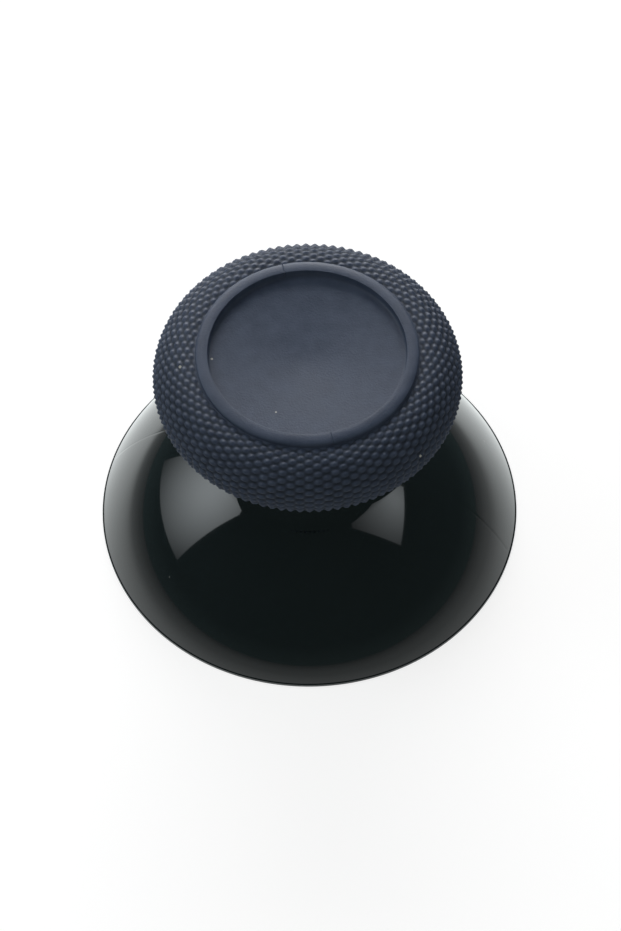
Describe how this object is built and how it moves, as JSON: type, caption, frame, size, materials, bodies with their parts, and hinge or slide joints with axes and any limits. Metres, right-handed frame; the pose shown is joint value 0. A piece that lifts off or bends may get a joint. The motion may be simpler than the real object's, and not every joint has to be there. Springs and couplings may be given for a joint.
{
  "type": "controller thumb grip",
  "caption": "Mushroom-shaped thumb grip for a controller's analogue stick: knurled rim, shallow dished top, waisted neck and a hollow dome skirt with a keyed socket.",
  "frame": {"origin": "centre of the skirt's rim, on the plane that the rim stands on", "axes": "+Z along the axis of the grip, from the skirt's rim up to the dished top; the socket's two flats face along Y"},
  "size_m": [0.0212, 0.0212, 0.014],
  "materials": {
    "grip_rubber": "matte slate grey, moulded",
    "stem_plastic": "polished near-black"
  },
  "bodies": {
    "root": {"skirt_stem": "stem_plastic", "grip_cap": "grip_rubber"}
  },
  "joints": []
}
